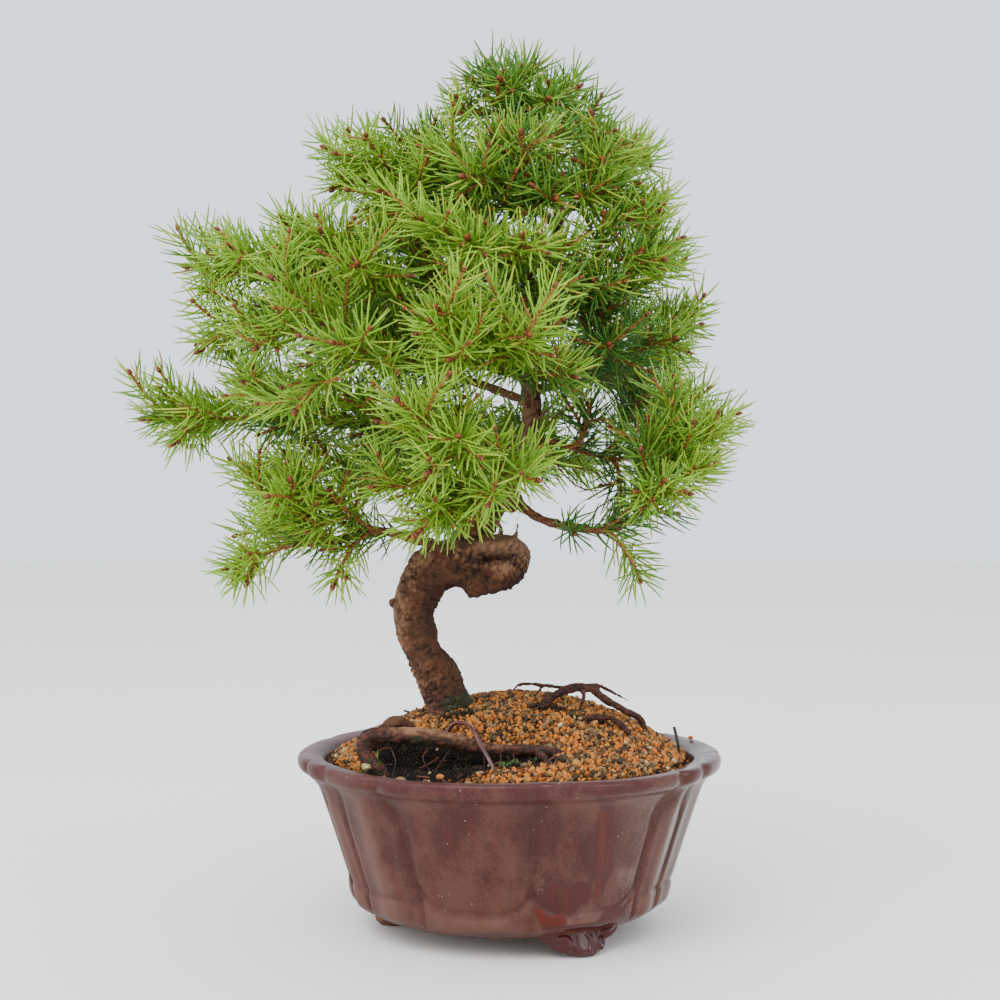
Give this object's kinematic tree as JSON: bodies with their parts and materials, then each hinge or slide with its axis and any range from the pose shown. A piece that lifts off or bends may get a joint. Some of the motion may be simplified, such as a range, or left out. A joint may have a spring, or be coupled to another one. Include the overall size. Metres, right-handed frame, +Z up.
{
  "type": "spruce bonsai",
  "caption": "Small spruce bonsai with a bent trunk, leafy branches and surface roots in gravel, in a round glazed pot on scroll feet.",
  "frame": {"origin": "middle of the whole object's footprint, on the level of the pot's feet", "axes": "+Z up along the tree; +X to the viewer's right in the picture; -Y towards the viewer, so that the front root and the front foot face -Y"},
  "size_m": [0.2357, 0.1896, 0.3381],
  "materials": {
    "glaze": "satin",
    "drain_plastic": "matte",
    "gravel": "matte",
    "bark": "matte",
    "needle_green": "satin",
    "brown_wire": "satin",
    "black_wire": "satin"
  },
  "bodies": {
    "root": {"pot": "glaze", "drain_mesh": "drain_plastic", "soil": "gravel", "trunk": "bark", "tie_wire_brown": "brown_wire", "tie_wire_black": "black_wire", "branch_far_left": "needle_green", "branch_left_front": "needle_green", "branch_left_mid": "needle_green", "branch_left_rear": "needle_green", "branch_low_left_rear": "needle_green", "branch_low_left": "needle_green", "branch_front_low": "needle_green", "branch_front_mid": "needle_green", "branch_front_high": "needle_green", "branch_right_low": "needle_green", "branch_right_mid": "needle_green", "branch_right_high": "needle_green", "branch_right_top": "needle_green", "branch_right_rear": "needle_green", "branch_rear_low": "needle_green", "branch_rear_mid": "needle_green", "branch_upper_left": "needle_green", "branch_upper_left_rear": "needle_green", "branch_upper_front": "needle_green", "branch_upper_right": "needle_green", "branch_upper_right_rear": "needle_green", "branch_crown": "needle_green"}
  },
  "joints": []
}
